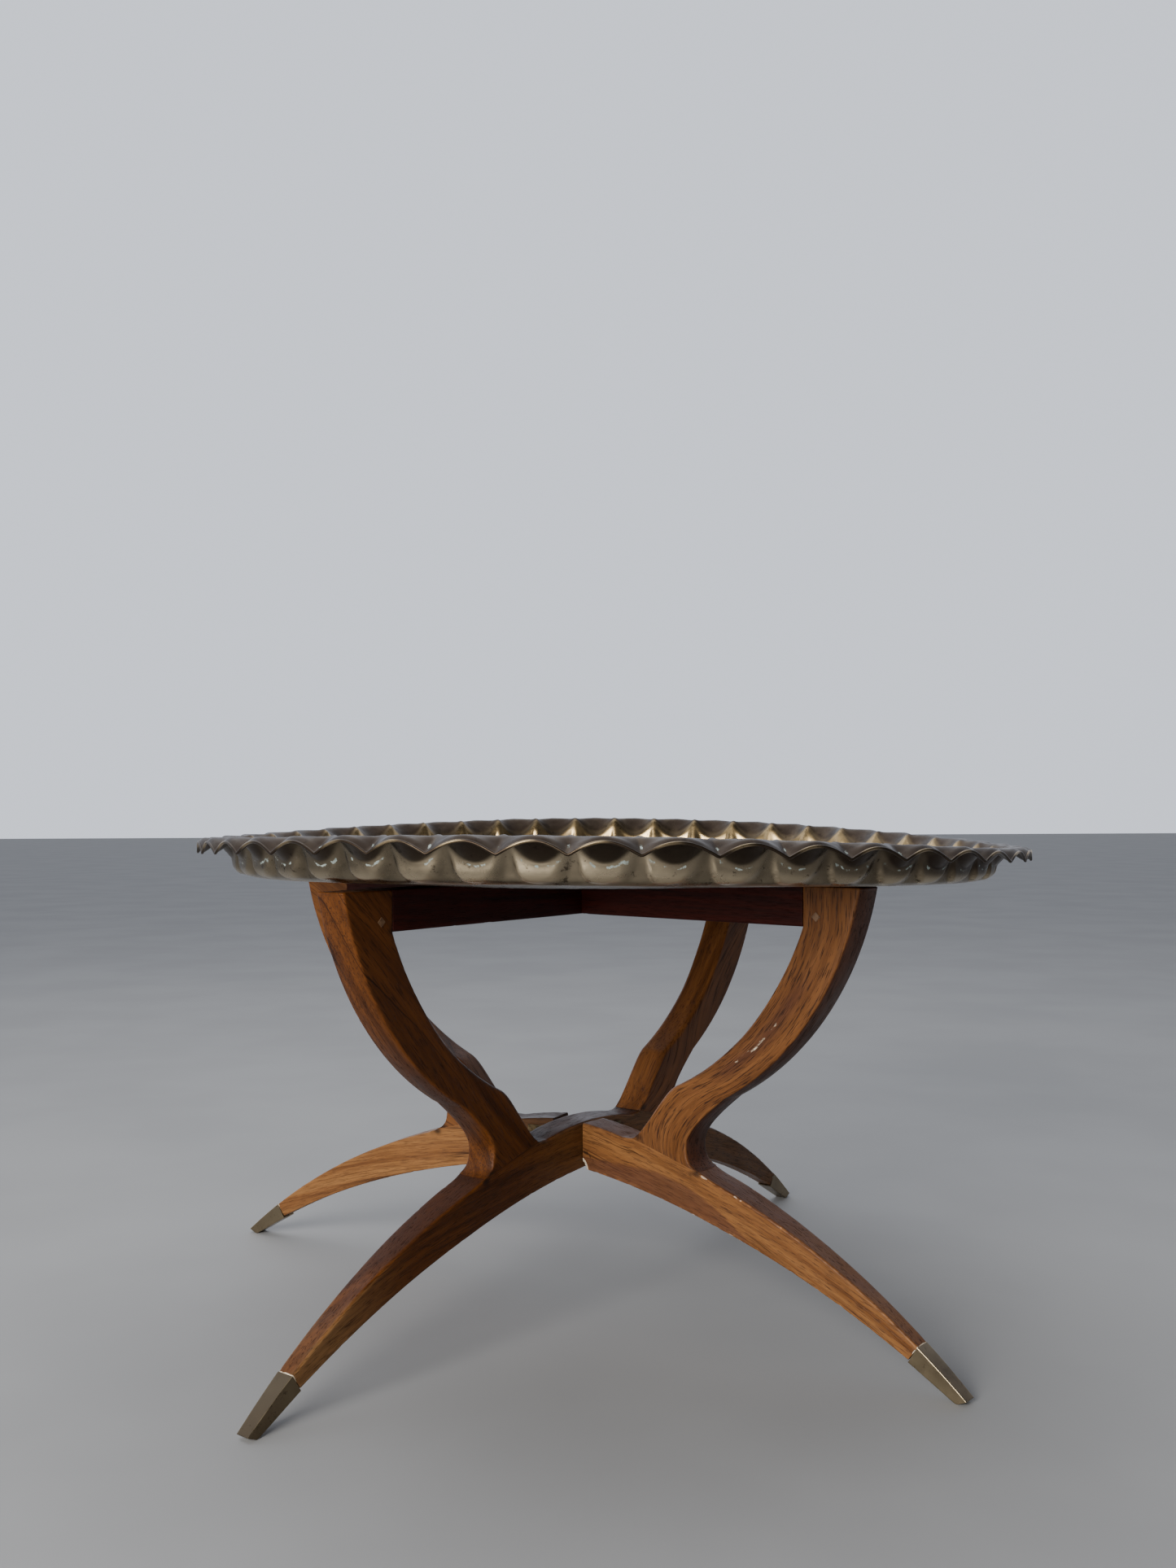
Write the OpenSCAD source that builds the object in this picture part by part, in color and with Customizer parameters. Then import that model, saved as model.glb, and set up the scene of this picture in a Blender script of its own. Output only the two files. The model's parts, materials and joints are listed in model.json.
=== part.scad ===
// Round brass tray with a fluted rim, lying on a folding wooden stand.
// The stand is one main frame (two legs) and two half frames (one leg each) that swing on butt hinges.
// Millimetres, +Z up. The origin is on the floor, under the tray's centre.

/* [Tray] */
// Diameter over the rim's outer edge
tray_d = 800; // [780:1:840]
// Diameter of the flat middle of the floor
tray_flat_d = 480; // [300:1:600]
// Thickness of the brass sheet
sheet = 1.2; // [1:0.1:2]
// Height of the ridge over the floor where the rim is lowest
rim_h = 29; // [20:1:40]
// Scoops round the rim
flutes = 47; // [24:1:64]
// Direction of the first pointed crease between two scoops
flute_from = -98.6; // [-180:0.1:180]
// Height that the bent rim gains at its mean, over its lowest place
rim_lift = 14.5; // [14.4:0.1:18]
// Tilt of the rim, as a height at the ridge
rim_tilt = 8; // [0:0.5:8]
// Direction in which the tilt rises
rim_tilt_to = 129; // [-180:1:180]
// Saddle bend of the rim, as a height at the ridge
rim_saddle = 8; // [0:0.5:8]
// Direction in which the saddle rises
rim_saddle_to = 82; // [-180:1:180]

/* [Stand] */
// Height of the stand's top
stand_h = 407; // [400:1:415]
// Reach of a foot's tip from the hub's axis
foot_reach = 417; // [412:1:418]
// Thickness of the boards
board = 32; // [28:1:36]
// Thickness of a leg at its ferrule
ankle_w = 17; // [14:1:20]
// Thickness of a foot at its tip
toe_w = 13; // [10:1:16]
// Height of the top rails
rail_h = 35; // [32:1:38]
// Side of the square pegs
peg = 6; // [4:0.5:8]
// Wall of the brass ferrules
ferrule_wall = 1.2; // [0.8:0.1:1.6]

/* [Pose] */
// Place of the hub's axis, left to right
hub_x = -35; // [-60:1:0]
// Place of the hub's axis, front to back
hub_y = -5; // [-30:1:30]
// Direction of the main frame's back right leg
main_turn = 49.7; // [0:0.1:90]
// How far the front right leg is opened past square
right_past = 4.1; // [0:0.1:4.3]
// How far the back left leg is folded from square
left_fold = 9.8; // [0:0.1:80]

/* [Hinges] */
// Distance of a hinge pin from both boards' faces
pin_off = 3; // [3:0.1:4]
// Radius of the knuckles
knuckle_r = 2.7; // [2.4:0.1:2.8]
// Radius of the hinge pins
pin_r = 1.3; // [1:0.1:1.6]
// Height of a hinge
hinge_h = 30; // [24:1:30]
// Length of a leaf from the pin
leaf_l = 28; // [22:1:32]
// Thickness of a leaf
leaf_t = 1.5; // [1.2:0.1:1.6]

/* [Hidden] */
$fn = 48;

wood_dark = [0.36, 0.22, 0.12];
wood_gold = [0.56, 0.35, 0.17];
old_brass = [0.50, 0.43, 0.25];
hinge_brass = [0.62, 0.50, 0.27];

half = board / 2;
// End of a half frame's boards, and the hinge pins, measured from the hub's axis
stub_from = half + pin_off;
pin_at = half + pin_off;
// Clearance of a swinging knuckle on its pin, and between things that slide past each other
pin_fit = 0.05;
gap = 0.3;
tray_z = stand_h + gap;

// A leg's curves, as [distance from the hub's axis, height]
leg_top_c = [-19, -496];
leg_top_r = 662;
leg_under_c = [-39, -730];
leg_under_r = 856;
arm_out_r = 285;
arm_in_r = 279;
hub_top_z = 168.5;
saddle = [68, 161.8];
seam_in = [83, 163];
seam_out = [157, 143.6];
knee = [145, 165];
knee_end_r = 169;
// Where the arm's inner curve ends, low down, and where it meets the rail
arm_in_low = [134, 219];
arm_out_low = [187, 213];
rail_r = 272.5;
rail_z = stand_h - rail_h;
arm_top_r = 328;
// The ferrule's upper end runs across the leg between these two points
cuff_top = [373.5, 36.8];
cuff_low = [364.6, 23];
sole = [foot_reach - 16, foot_reach - 5];
peg_at = [286, stand_h - 26];
// The legs keep the boards' thickness up to this distance from the hub
taper_from = 185;
// Tenons: of the rails in the arms, and of the legs in the ferrules
tenon_l = 34;
tenon_w = 11;
tenon_h = 22;
spur = [[365.6, 25], [372.4, 34.6], [400.5, 11.8], [396, 5.4]];
dowel_r = 5;
dowel_l = 44;
dowel_rs = [103, 131];
seam_slope = atan2(seam_out[1] - seam_in[1], seam_out[0] - seam_in[0]);
// Centre heights of the two hinges of a half frame
low_hinge_z = 145;
high_hinge_z = stand_h - rail_h / 2;
// Wood screws
screw_head_r = 3.3;
screw_r = 1.8;
screw_l = 13;
screw_slot = 0.8;
screw_at = 17;
screw_dz = 9;

// Points of a short arc of radius r from p to q. Its centre is on the left of the way,
// or on the right if r < 0
function arc(p, q, r, n) =
    let (
        d = q - p,
        aside = [-d[1], d[0]] / norm(d) * sign(r) * sqrt(r * r - d * d / 4),
        c = (p + q) / 2 + aside,
        a = atan2(p[1] - c[1], p[0] - c[0]),
        b = atan2(q[1] - c[1], q[0] - c[0])
    )
    [for (i = [0:n]) let (t = a + (b - a) * i / n) c + abs(r) * [cos(t), sin(t)]];
// Points of a cubic curve, without its last one
function curve(p, q, r, s, n) = [
    for (i = [0:n - 1])
        let (t = i / n, u = 1 - t)
            u * u * u * p + 3 * u * u * t * q + 3 * u * t * t * r + t * t * t * s
];
function height_on(c, r, x) = c[1] + sqrt(r * r - (x - c[0]) * (x - c[0]));

// Upper edge of a lower leg from the hub to the toe: crown, saddle, seam under the arm, then one long arc
function leg_top() = concat(
    [for (i = [0:6]) let (x = saddle[0] * i / 6) [x, hub_top_z - (hub_top_z - saddle[1]) * pow(i / 6, 2)]],
    [[76, 161.9], seam_in, seam_out],
    [for (i = [0:20])
        let (x = knee_end_r + (foot_reach - knee_end_r) * i / 20)
            [x, height_on(leg_top_c, leg_top_r, x)]]
);
// Lower edge from the toe back to the hub
function leg_under() = concat(
    [[sole[1] + 3, 0.6], [sole[1], 0], [sole[0], 0], cuff_low],
    [for (i = [12:-1:0])
        let (x = 356 * i / 12)
            [x, height_on(leg_under_c, leg_under_r, x)]]
);
function leg_outline() = concat(leg_top(), leg_under());

// Outline of an arm: down the outer curve from the stand's top, round the knee, along the seam
// and up the inner curve
function arm_outline() = concat(
    arc([arm_top_r, stand_h], arm_out_low, -arm_out_r, 20),
    [for (p = curve(arm_out_low, [168, 197], [146, 180], knee, 8)) if (p != arm_out_low) p],
    curve(knee, [145, 152], [148, 147.5], seam_out, 6),
    [seam_out],
    curve(seam_in, [99, 172], [116, 211], arm_in_low, 8),
    arc(arm_in_low, [rail_r, rail_z], arm_in_r, 20),
    [[rail_r, stand_h]]
);

// The stand's own frame: +X is the back right leg, -X the front left, -Y the front right, +Y the back left
module stand() {
    translate([hub_x, hub_y, 0])
        rotate([0, 0, main_turn])
            children();
}

// Turns a piece of the back left half round from the front right's place
module far_side() {
    rotate([0, 0, 180])
        children();
}

// Swings a half frame's piece about its hinge pin
module swing(angle) {
    translate([pin_at, -pin_at, 0])
        rotate([0, 0, angle])
            translate([-pin_at, pin_at, 0])
                children();
}

module on_right_half() {
    stand()
        swing(-right_past)
            children();
}

module on_left_half() {
    stand()
        far_side()
            swing(left_fold)
                children();
}

// Stands an outline of [distance, height] up along +X, or along -Y for a half frame
module upright(thickness) {
    rotate([90, 0, 0])
        linear_extrude(height = thickness, center = true)
            children();
}

module along_half() {
    rotate([0, 0, -90])
        children();
}

// Narrowing of the lower legs towards the feet, seen from above
module leg_taper(sign) {
    reach = foot_reach + 10;
    toe_half = toe_w / 2 - (ankle_w - toe_w) / 2 * 10 / (foot_reach - cuff_top[0]);
    linear_extrude(height = hub_top_z + 20)
        polygon([
            [0, -half - 1],
            [sign * taper_from, -half - 1],
            [sign * taper_from, -half],
            [sign * cuff_top[0], -ankle_w / 2],
            [sign * reach, -toe_half],
            [sign * reach, toe_half],
            [sign * cuff_top[0], ankle_w / 2],
            [sign * taper_from, half],
            [sign * taper_from, half + 1],
            [0, half + 1]
        ]);
}

// Everything beyond the ferrule's upper end
module foot_zone() {
    across = cuff_top - cuff_low;
    polygon([cuff_low - across, cuff_top + across, [460, 60], [460, -30]]);
}

// The spur of wood inside a ferrule
module leg_spur() {
    intersection() {
        upright(ankle_w)
            polygon(spur);
        translate([spur[0][0] - 1, 0, 0])
            linear_extrude(height = 60)
                polygon([
                    [0, -ankle_w / 2 + ferrule_wall],
                    [40, -toe_w / 2 + ferrule_wall - 0.3],
                    [40, toe_w / 2 - ferrule_wall + 0.3],
                    [0, ankle_w / 2 - ferrule_wall]
                ]);
    }
}

module leg_side(outline, sign) {
    intersection() {
        upright(board)
            polygon(outline);
        leg_taper(sign);
    }
}

// A lower leg on +X, from the hub's axis to the ferrule
module plain_leg() {
    difference() {
        leg_side(leg_outline(), 1);
        upright(board + 2)
            foot_zone();
    }
    leg_spur();
}

module plain_ferrule() {
    difference() {
        intersection() {
            leg_side(leg_outline(), 1);
            upright(board + 2)
                foot_zone();
        }
        leg_spur();
    }
}

// Dowels that cross the seam between a leg and its arm
module seam_dowels(r) {
    for (x = dowel_rs)
        translate([x, 0, seam_in[1] + (x - seam_in[0]) * tan(seam_slope)])
            rotate([0, -seam_slope, 0])
                cylinder(r = r, h = dowel_l, center = true);
}

module square_peg(size, length) {
    translate([peg_at[0], 0, peg_at[1]])
        rotate([0, 45, 0])
            cube([size, length, size], center = true);
}

module rail_tenon() {
    translate([rail_r, -tenon_w / 2, rail_z + (rail_h - tenon_h) / 2])
        cube([tenon_l, tenon_w, tenon_h]);
}

module plain_arm() {
    difference() {
        upright(board)
            polygon(arm_outline());
        seam_dowels(dowel_r);
        rail_tenon();
        square_peg(peg, board + 2);
    }
}

// Screw holes that a leaf's two screws need, from the wood's face inwards along -Z
module screw_shank() {
    translate([0, 0, -screw_l])
        cylinder(r = screw_r, h = screw_l);
    translate([0, 0, -screw_l - 3])
        cylinder(r1 = 0.2, r2 = screw_r, h = 3);
}

module screw_head() {
    cylinder(r1 = screw_r, r2 = screw_head_r, h = leaf_t);
}

module wood_screw() {
    difference() {
        union() {
            screw_shank();
            screw_head();
        }
        translate([-screw_head_r - 1, -screw_slot / 2, leaf_t - 0.6])
            cube([2 * screw_head_r + 2, screw_slot, 1]);
    }
}

// Puts a screw's child shapes on the main frame's face at the right hinge
module fixed_screw_places(z) {
    for (dz = [-screw_dz, screw_dz])
        translate([pin_at + screw_at, -half, z + dz])
            rotate([90, 0, 0])
                children();
}

// The same on the half frame's face, which the moving leaf covers
module moving_screw_places(z) {
    for (dz = [-screw_dz, screw_dz])
        translate([half, -pin_at - screw_at, z + dz])
            rotate([0, 90, 0])
                children();
}

// One leaf of a butt hinge. The pin is the Z axis, and the leaf lies along +X against y = pin_off.
module leaf(knuckles, bore_r) {
    third = hinge_h / 3;
    difference() {
        union() {
            translate([knuckle_r + 0.6, pin_off - leaf_t, -hinge_h / 2])
                cube([leaf_l - knuckle_r - 0.6, leaf_t, hinge_h]);
            for (k = knuckles)
                translate([0, 0, (k - 1.5) * third + gap / 2]) {
                    cylinder(r = knuckle_r, h = third - gap);
                    translate([0, pin_off - leaf_t, 0])
                        cube([knuckle_r + 1, leaf_t - gap, third - gap]);
                }
        }
        translate([0, 0, -hinge_h])
            cylinder(r = bore_r, h = 2 * hinge_h);
        for (dz = [-screw_dz, screw_dz])
            translate([screw_at, pin_off, dz])
                rotate([90, 0, 0])
                    screw_head();
    }
}

module fixed_leaf(z) {
    color(hinge_brass)
        translate([pin_at, -pin_at, z])
            leaf([0, 2], pin_r);
}

// The moving leaf is the fixed one mirrored across the diagonal between the two boards
module moving_leaf(z) {
    color(hinge_brass)
        translate([pin_at, -pin_at, z])
            rotate([0, 0, -90])
                mirror([0, 1, 0])
                    leaf([1], pin_r + pin_fit);
}

module hinge_pin(z) {
    color(hinge_brass)
        translate([pin_at, -pin_at, z - hinge_h / 2 - 1])
            cylinder(r = pin_r, h = hinge_h + 2);
}

// ---- the tray ----

// Rise of the rim over its lowest place, in direction a
function rise(a) = rim_lift + rim_tilt * cos(a - rim_tilt_to) + rim_saddle * cos(2 * (a - rim_saddle_to));
// Part of that rise that the floor's edge follows
floor_share = 0.52;
// Stations of the sheet's lower face from the floor to the edge, each as
// [radius at a crease, height share there, radius in a scoop, height share there, floor share, normal]
tray_edge = tray_d / 2;
stations = [
    [tray_flat_d / 2, 0, tray_flat_d / 2, 0, 0, [0, 1]],
    [tray_edge - 50, 0, tray_edge - 50, 0, 0.9, [0, 1]],
    [tray_edge - 41, 0.06, tray_edge - 39.5, 0.06, 1, [-0.7, 0.7]],
    [tray_edge - 37, 0.28, tray_edge - 33.5, 0.24, 1, [-1, 0.2]],
    [tray_edge - 31, 0.68, tray_edge - 32, 0.40, 1, [-1, 0.3]],
    [tray_edge - 25.5, 0.94, tray_edge - 28.5, 0.52, 1, [-0.8, 0.8]],
    [tray_edge - 21.5, 0.99, tray_edge - 20, 0.78, 1, [-0.4, 1]],
    [tray_edge - 17, 0.95, tray_edge - 11, 0.98, 1, [-0.1, 1]],
    [tray_edge - 8, 0.76, tray_edge - 5.5, 0.985, 1, [0, 1]],
    [tray_edge, 0.61, tray_edge, 0.87, 1, [0, 1]]
];
steps = flutes * 4;
function place(i) = flute_from + 360 * i / steps;
// 0 on a pointed crease, 1 in the middle of a scoop
function scoop(i) = abs(sin((place(i) - flute_from) * flutes / 2));
function sheet_point(s, i, up) =
    let (
        a = place(i),
        k = scoop(i),
        r = s[0] + k * (s[2] - s[0]) + up * sheet * s[5][0],
        share = s[1] + k * (s[3] - s[1]),
        z = tray_z + s[4] * floor_share * rise(a) + share * (rim_h + (1 - floor_share) * rise(a))
    )
    [r * cos(a), r * sin(a), z + up * sheet * s[5][1]];
// Rings of points: along the lower face outwards, then along the upper face inwards
rings = concat(
    [for (s = stations) [for (i = [0:steps - 1]) sheet_point(s, i, 0)]],
    [for (j = [len(stations) - 1:-1:0]) [for (i = [0:steps - 1]) sheet_point(stations[j], i, 1)]]
);

module tray() {
    count = len(rings);
    color(old_brass) {
        polyhedron(
            points = [for (ring = rings) for (p = ring) p],
            faces = [
                for (j = [0:count - 1])
                    for (i = [0:steps - 1])
                        let (k = (j + 1) % count, n = (i + 1) % steps)
                            [j * steps + i, k * steps + i, k * steps + n, j * steps + n]
            ],
            convexity = 6
        );
        translate([0, 0, tray_z])
            linear_extrude(height = sheet)
                polygon([for (i = [0:steps - 1]) tray_flat_d / 2 * [cos(place(i)), sin(place(i))]]);
    }
}

// ---- the stand's pieces ----

module main_beam() {
    color(wood_dark)
        stand()
            difference() {
                union() {
                    plain_leg();
                    mirror([1, 0, 0])
                        plain_leg();
                }
                for (side = [0, 1])
                    mirror([side, 0, 0])
                        seam_dowels(dowel_r);
                for (turn = [0, 180])
                    rotate([0, 0, turn])
                        fixed_screw_places(low_hinge_z)
                            screw_shank();
            }
}

module main_rail() {
    color(wood_dark)
        stand()
            difference() {
                union() {
                    translate([-rail_r, -half, rail_z])
                        cube([2 * rail_r, board, rail_h]);
                    for (side = [0, 1])
                        mirror([side, 0, 0])
                            rail_tenon();
                }
                for (side = [0, 1])
                    mirror([side, 0, 0])
                        square_peg(peg, board + 2);
                for (turn = [0, 180])
                    rotate([0, 0, turn])
                        fixed_screw_places(high_hinge_z)
                            screw_shank();
            }
}

module front_left_arm() {
    color(wood_dark)
        stand()
            mirror([1, 0, 0])
                plain_arm();
}

module back_right_arm() {
    color(wood_dark)
        stand()
            plain_arm();
}

module half_leg() {
    difference() {
        along_half()
            difference() {
                plain_leg();
                translate([-1, -board, 0])
                    cube([stub_from + 1, 2 * board, hub_top_z + 10]);
                seam_dowels(dowel_r);
            }
        moving_screw_places(low_hinge_z)
            screw_shank();
    }
}

module half_rail() {
    difference() {
        along_half()
            difference() {
                union() {
                    translate([stub_from, -half, rail_z])
                        cube([rail_r - stub_from, board, rail_h]);
                    rail_tenon();
                }
                square_peg(peg, board + 2);
            }
        moving_screw_places(high_hinge_z)
            screw_shank();
    }
}

module front_right_leg() {
    color(wood_gold)
        on_right_half()
            half_leg();
}

module front_right_arm() {
    color(wood_gold)
        on_right_half()
            along_half()
                plain_arm();
}

module front_right_rail() {
    color(wood_gold)
        on_right_half()
            half_rail();
}

module back_left_leg() {
    color(wood_gold)
        on_left_half()
            half_leg();
}

module back_left_arm() {
    color(wood_gold)
        on_left_half()
            along_half()
                plain_arm();
}

module back_left_rail() {
    color(wood_gold)
        on_left_half()
            half_rail();
}

module front_left_ferrule() {
    color(old_brass)
        stand()
            mirror([1, 0, 0])
                plain_ferrule();
}

module back_right_ferrule() {
    color(old_brass)
        stand()
            plain_ferrule();
}

module front_right_ferrule() {
    color(old_brass)
        on_right_half()
            along_half()
                plain_ferrule();
}

module back_left_ferrule() {
    color(old_brass)
        on_left_half()
            along_half()
                plain_ferrule();
}

module main_pegs() {
    color(wood_gold)
        stand()
            for (side = [0, 1])
                mirror([side, 0, 0])
                    square_peg(peg, board + 1);
}

module front_right_peg() {
    color(wood_gold)
        on_right_half()
            along_half()
                square_peg(peg, board + 1);
}

module back_left_peg() {
    color(wood_gold)
        on_left_half()
            along_half()
                square_peg(peg, board + 1);
}

module main_dowels() {
    color(wood_gold)
        stand()
            for (side = [0, 1])
                mirror([side, 0, 0])
                    seam_dowels(dowel_r);
}

module front_right_dowels() {
    color(wood_gold)
        on_right_half()
            along_half()
                seam_dowels(dowel_r);
}

module back_left_dowels() {
    color(wood_gold)
        on_left_half()
            along_half()
                seam_dowels(dowel_r);
}

// Screws that hold the four fixed leaves to the main frame
module main_hinge_screws() {
    color(hinge_brass)
        stand()
            for (turn = [0, 180], z = [low_hinge_z, high_hinge_z])
                rotate([0, 0, turn])
                    fixed_screw_places(z)
                        wood_screw();
}

// Screws that hold a half frame's two moving leaves
module half_hinge_screws() {
    color(hinge_brass)
        for (z = [low_hinge_z, high_hinge_z])
            moving_screw_places(z)
                wood_screw();
}

tray();
main_beam();
main_rail();
front_left_arm();
back_right_arm();
front_right_leg();
front_right_arm();
front_right_rail();
back_left_leg();
back_left_arm();
back_left_rail();
front_left_ferrule();
back_right_ferrule();
front_right_ferrule();
back_left_ferrule();
main_pegs();
front_right_peg();
back_left_peg();
main_dowels();
front_right_dowels();
back_left_dowels();
stand() fixed_leaf(low_hinge_z);  // right_lower_fixed_leaf
on_right_half() moving_leaf(low_hinge_z);  // right_lower_moving_leaf
stand() hinge_pin(low_hinge_z);  // right_lower_pin
stand() fixed_leaf(high_hinge_z);  // right_upper_fixed_leaf
on_right_half() moving_leaf(high_hinge_z);  // right_upper_moving_leaf
stand() hinge_pin(high_hinge_z);  // right_upper_pin
stand() far_side() fixed_leaf(low_hinge_z);  // left_lower_fixed_leaf
on_left_half() moving_leaf(low_hinge_z);  // left_lower_moving_leaf
stand() far_side() hinge_pin(low_hinge_z);  // left_lower_pin
stand() far_side() fixed_leaf(high_hinge_z);  // left_upper_fixed_leaf
on_left_half() moving_leaf(high_hinge_z);  // left_upper_moving_leaf
stand() far_side() hinge_pin(high_hinge_z);  // left_upper_pin
main_hinge_screws();
on_right_half() half_hinge_screws();  // right_hinge_screws
on_left_half() half_hinge_screws();  // left_hinge_screws
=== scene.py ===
import itertools
import json
import math

import bmesh
import bpy
import numpy as np
from mathutils import Matrix


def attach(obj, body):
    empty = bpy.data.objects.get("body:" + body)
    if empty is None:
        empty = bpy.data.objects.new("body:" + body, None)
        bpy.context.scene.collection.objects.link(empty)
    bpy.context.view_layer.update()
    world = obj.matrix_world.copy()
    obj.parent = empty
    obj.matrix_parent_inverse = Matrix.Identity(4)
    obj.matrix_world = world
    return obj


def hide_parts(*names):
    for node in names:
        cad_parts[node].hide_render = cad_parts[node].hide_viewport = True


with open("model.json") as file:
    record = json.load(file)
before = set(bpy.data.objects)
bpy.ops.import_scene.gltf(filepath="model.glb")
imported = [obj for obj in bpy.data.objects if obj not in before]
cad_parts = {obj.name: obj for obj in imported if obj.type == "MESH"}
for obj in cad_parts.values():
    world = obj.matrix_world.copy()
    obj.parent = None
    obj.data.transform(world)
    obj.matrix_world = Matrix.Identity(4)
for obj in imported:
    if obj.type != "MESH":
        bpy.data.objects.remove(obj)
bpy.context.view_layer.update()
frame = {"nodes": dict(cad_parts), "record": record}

# Looks of a fluted brass tray on a folding stand. Sizes repeat the part's, in millimetres, and
# become metres where a mesh is made.
MM = 0.001


# ---------------- noise for shapes

def hashed(ix, iy, iz, seed):
    """A repeatable number from 0 to 1 for each lattice point."""
    h = (ix * 374761393 + iy * 668265263 + iz * 1442695041 + seed * 1274126177) & 0xFFFFFFFF
    h = ((h ^ (h >> 13)) * 1274126177) & 0xFFFFFFFF
    return ((h ^ (h >> 16)) & 0xFFFFFF) / 0xFFFFFF


def soft_noise(points, size, seed):
    """Smooth noise from -1 to 1 at (n, 3) points, with features about that size."""
    q = points / size
    cell = np.floor(q).astype(np.int64)
    f = q - cell
    f = f * f * (3 - 2 * f)
    total = np.zeros(len(points))
    for corner in itertools.product((0, 1), repeat=3):
        weight = np.prod([f[:, i] if corner[i] else 1 - f[:, i] for i in range(3)], axis=0)
        total += weight * hashed(*(cell[:, i] + corner[i] for i in range(3)), seed)
    return 2 * total - 1


def hammer_marks(points, spacing, seed):
    """Height of a hammered surface: 0 in the middle of a blow, up to 1 on the ridges between blows."""
    q = points / spacing
    cell = np.floor(q).astype(np.int64)
    nearest = np.full(len(points), 4.0)
    for step in itertools.product((-1, 0, 1), repeat=3):
        site = cell + np.array(step)
        at = [site[:, i] + hashed(site[:, 0], site[:, 1], site[:, 2], seed + i) for i in range(3)]
        nearest = np.minimum(nearest, sum((q[:, i] - at[i]) ** 2 for i in range(3)))
    return np.clip(nearest, 0, 1)


def ease(value, low, high):
    """0 below low, 1 above high, smooth between."""
    t = np.clip((value - low) / (high - low), 0, 1)
    return t * t * (3 - 2 * t)


def peak(value, middle, spread):
    """1 at the middle, falling smoothly to 0 on both sides."""
    return np.exp(-((value - middle) / spread) ** 2)


# ---------------- mesh helpers

def new_object(name, data):
    """An object of the scene that holds this mesh, light or camera."""
    made = bpy.data.objects.new(name, data)
    bpy.context.scene.collection.objects.link(made)
    return made


def new_mesh(name, points, faces, sharp_angle):
    """A smooth-shaded object from points in millimetres."""
    mesh = bpy.data.meshes.new(name)
    mesh.from_pydata((points * MM).tolist(), [], faces)
    bm = bmesh.new()
    bm.from_mesh(mesh)
    bmesh.ops.recalc_face_normals(bm, faces=bm.faces)
    bm.to_mesh(mesh)
    bm.free()
    mesh.shade_smooth()
    mesh.set_sharp_from_angle(angle=math.radians(sharp_angle))
    return new_object(name, mesh)


def store(piece, name, values):
    """Keeps an (n, 3) vector or an (n, 4) colour for each point, for the material to read."""
    kind, key = ("FLOAT_VECTOR", "vector") if values.shape[1] == 3 else ("FLOAT_COLOR", "color")
    attribute = piece.data.attributes.new(name, kind, "POINT")
    attribute.data.foreach_set(key, values.astype(np.float32).ravel())


def put_in_place(piece, place):
    """Moves a piece's mesh by a matrix whose translation is in millimetres."""
    matrix = place.copy()
    matrix.translation *= MM
    piece.data.transform(matrix)


def rings_to_faces(count, around):
    """Quads between successive closed rings of points, each ring with the same number of points."""
    faces = []
    for a in range(0, (count - 1) * around, around):
        b = a + around
        for i in range(around):
            n = (i + 1) % around
            faces.append((a + i, b + i, b + n, a + n))
    return faces


# ---------------- the tray

TRAY_EDGE = 400
TRAY_FLAT = 240
TRAY_Z = 407.3
SHEET = 1.2
BEAD = 1.25
RIM_H = 29
FLUTES = 47
FLUTE_FROM = math.radians(-98.6)
FLUTE_SAMPLES = 28
# The rim is bent out of flat: its mean rise above the lowest place, then a tilt and a saddle, each
# with the direction where it is highest, and the share of the rise that the floor's edge takes
RIM_RISE = 14.5
TILT, TILT_WAY = 8, math.radians(129)
SADDLE, SADDLE_WAY = 8, math.radians(82)
FLOOR_SHARE = 0.52
# Distances between the mesh's rings: on the floor, under it, and on the wall and rim
FLOOR_STEP, UNDER_STEP, WALL_STEP = 2.6, 5.5, 1.25
# Hammer blows, their depth on the floor and on the rim, and the depth of the rim's broad dents
MARK_SPACING, MARK_SEED = 11, 5
MARK_DEPTH, RIM_MARK_DEPTH, DENT_DEPTH = 0.55, 0.10, 0.35
# The floor's finish: rubbed, rubbed more on the ridges between blows, and dark
FLOOR_RUBBED, RIDGE_RUBBED, FLOOR_DARK = 0.05, 0.45, 0.30
# The sheet from the floor to the edge, each row with the inset from the edge and the height share
# at a crease, the same in a scoop, and the share of the floor's rise
STATIONS = np.array([
    (160, 0.00, 160, 0.00, 0.0),
    (50, 0.00, 50, 0.00, 0.9),
    (41, 0.06, 39.5, 0.06, 1.0),
    (37, 0.28, 33.5, 0.24, 1.0),
    (31, 0.68, 32, 0.40, 1.0),
    (25.5, 0.94, 28.5, 0.52, 1.0),
    (21.5, 0.99, 20, 0.78, 1.0),
    (17, 0.95, 11, 0.98, 1.0),
    (8, 0.76, 5.5, 0.985, 1.0),
    (0, 0.61, 0, 0.87, 1.0),
])


def rim_rise(a):
    """How far the bent rim is above its lowest place, in direction a."""
    return RIM_RISE + TILT * np.cos(a - TILT_WAY) + SADDLE * np.cos(2 * (a - SADDLE_WAY))


def monotone(t, knots, values):
    """A smooth curve through the values, which never swings past them."""
    step, rise = np.diff(knots), np.diff(values, axis=0)
    slope = rise / step[:, None]
    product = slope[1:] * slope[:-1]
    mean = 2 * product / np.where(product > 0, slope[1:] + slope[:-1], 1)
    tangent = np.vstack([slope[:1], np.where(product > 0, mean, 0), slope[-1:]])
    k = np.clip(np.searchsorted(knots, t, side="right") - 1, 0, len(knots) - 2)
    h = step[k][:, None]
    u = ((t - knots[k]) / step[k])[:, None]
    return (
        (1 + 2 * u) * (1 - u) ** 2 * values[k] + u * (1 - u) ** 2 * h * tangent[k]
        + u * u * (3 - 2 * u) * values[k + 1] + u * u * (u - 1) * h * tangent[k + 1]
    )


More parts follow.
